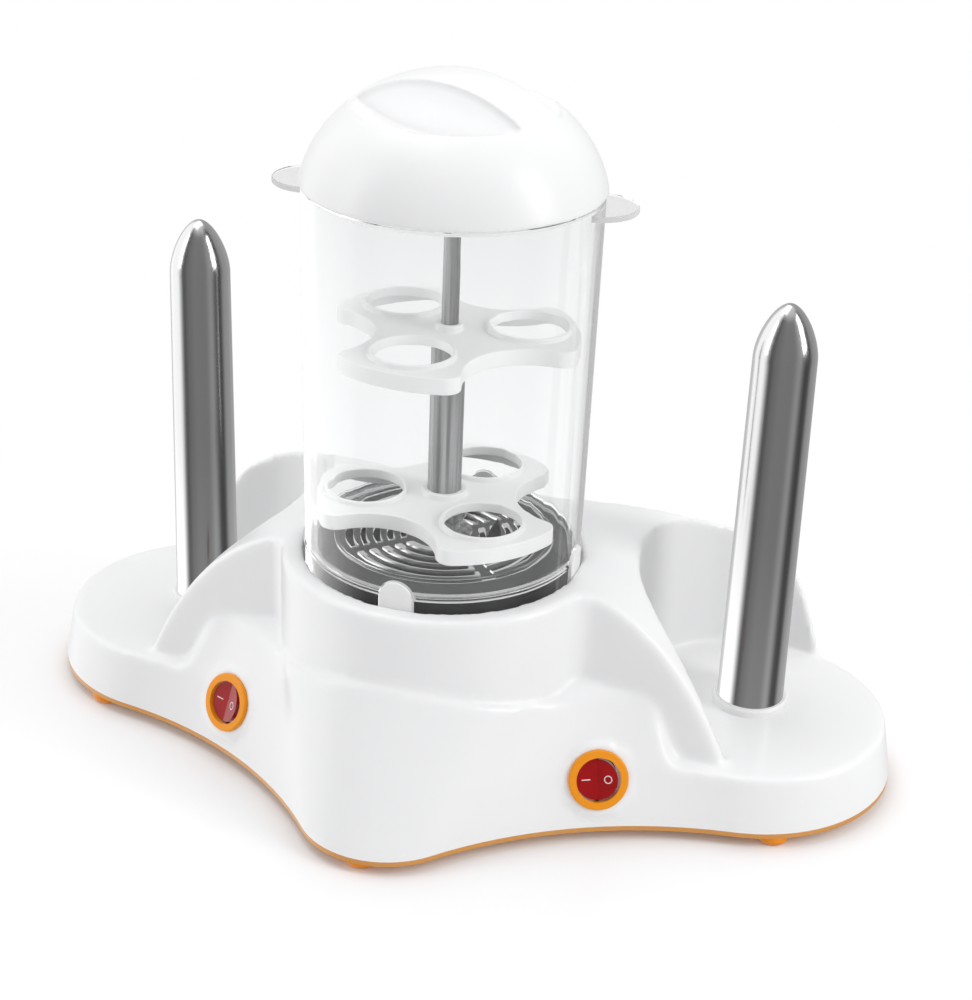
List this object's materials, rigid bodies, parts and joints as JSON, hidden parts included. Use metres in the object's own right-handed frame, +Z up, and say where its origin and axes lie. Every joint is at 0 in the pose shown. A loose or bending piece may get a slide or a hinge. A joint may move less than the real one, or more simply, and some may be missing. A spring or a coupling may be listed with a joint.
{
  "type": "hot dog spike machine",
  "caption": "Countertop hot dog maker: a clear steaming tower with a domed lid and egg trays, between heated bun spikes on a low moulded base with rocker switches.",
  "frame": {"origin": "under the tower's axis, on the surface that the feet stand on", "axes": "+Z up, -Y towards the user at the controls, +X to the user's right along the long side"},
  "size_m": [0.3552, 0.184, 0.2783],
  "materials": {
    "housing": "fine moulded white",
    "lower_trim": "moulded orange",
    "foot_rubber": "soft orange",
    "screw_steel": "zinc plated",
    "dish_coating": "dark non-stick coating",
    "seal_silicone": "silicone",
    "element_steel": "heat tinted",
    "control_plastic": "moulded black",
    "shield_steel": "pressed steel",
    "clear_plastic": "clear moulded plastic",
    "grate_plastic": "clear moulded plastic",
    "tray_plastic": "moulded white",
    "stem_plastic": "grey translucent plastic",
    "lid_plastic": "moulded white, lightly translucent",
    "spike_steel": "polished stainless steel",
    "ring_plastic": "moulded white",
    "bezel_plastic": "moulded orange",
    "rocker_plastic": "red translucent",
    "grommet_rubber": "black rubber"
  },
  "bodies": {
    "base": {"housing_top": "housing", "container_seat": "housing", "base_cover": "lower_trim", "feet": "foot_rubber", "cover_screws": "screw_steel", "heating_dish": "dish_coating", "dish_gasket": "seal_silicone", "ring_heater": "element_steel", "dish_thermostat": "control_plastic", "thermal_fuse": "control_plastic", "heat_shield": "shield_steel", "cord_grommet": "grommet_rubber", "terminal_block": "control_plastic", "left_spike": "spike_steel", "left_spike_heater": "element_steel", "left_spike_ring": "ring_plastic", "left_spike_nut": "screw_steel", "left_switch_bezel": "bezel_plastic", "left_switch_body": "control_plastic", "right_spike": "spike_steel", "right_spike_heater": "element_steel", "right_spike_ring": "ring_plastic", "right_spike_nut": "screw_steel", "right_switch_bezel": "bezel_plastic", "right_switch_body": "control_plastic"},
    "container": {"container_tube": "clear_plastic", "container_grate": "grate_plastic"},
    "lid": {"lid": "lid_plastic"},
    "rack": {"lower_egg_tray": "tray_plastic", "upper_egg_tray": "tray_plastic", "rack_stem": "stem_plastic"},
    "left_rocker": {"left_rocker": "rocker_plastic"},
    "right_rocker": {"right_rocker": "rocker_plastic"}
  },
  "joints": [
    {"name": "container_lift", "type": "slide", "parent": "base", "child": "container", "axis": [0, 0, 1], "range_m": [0, 0.08]},
    {"name": "lid_lift", "type": "slide", "parent": "container", "child": "lid", "axis": [0, 0, 1], "range_m": [0, 0.3]},
    {"name": "rack_lift", "type": "slide", "parent": "container", "child": "rack", "axis": [0, 0, 1], "range_m": [0, 0.15]},
    {"name": "left_rocker_turn", "type": "hinge", "parent": "base", "child": "left_rocker", "pos_m": [-0.07518, -0.03271, 0.02332], "axis": [0.1495, 0.3076, 0.9397], "range_deg": [0, 16]},
    {"name": "right_rocker_turn", "type": "hinge", "parent": "base", "child": "right_rocker", "pos_m": [0.07518, -0.03271, 0.02332], "axis": [-0.1495, 0.3076, 0.9397], "range_deg": [0, 16]}
  ],
  "couplings": [
    {"joint": "rack_lift", "follows": "lid_lift", "ratio": 0.5}
  ]
}
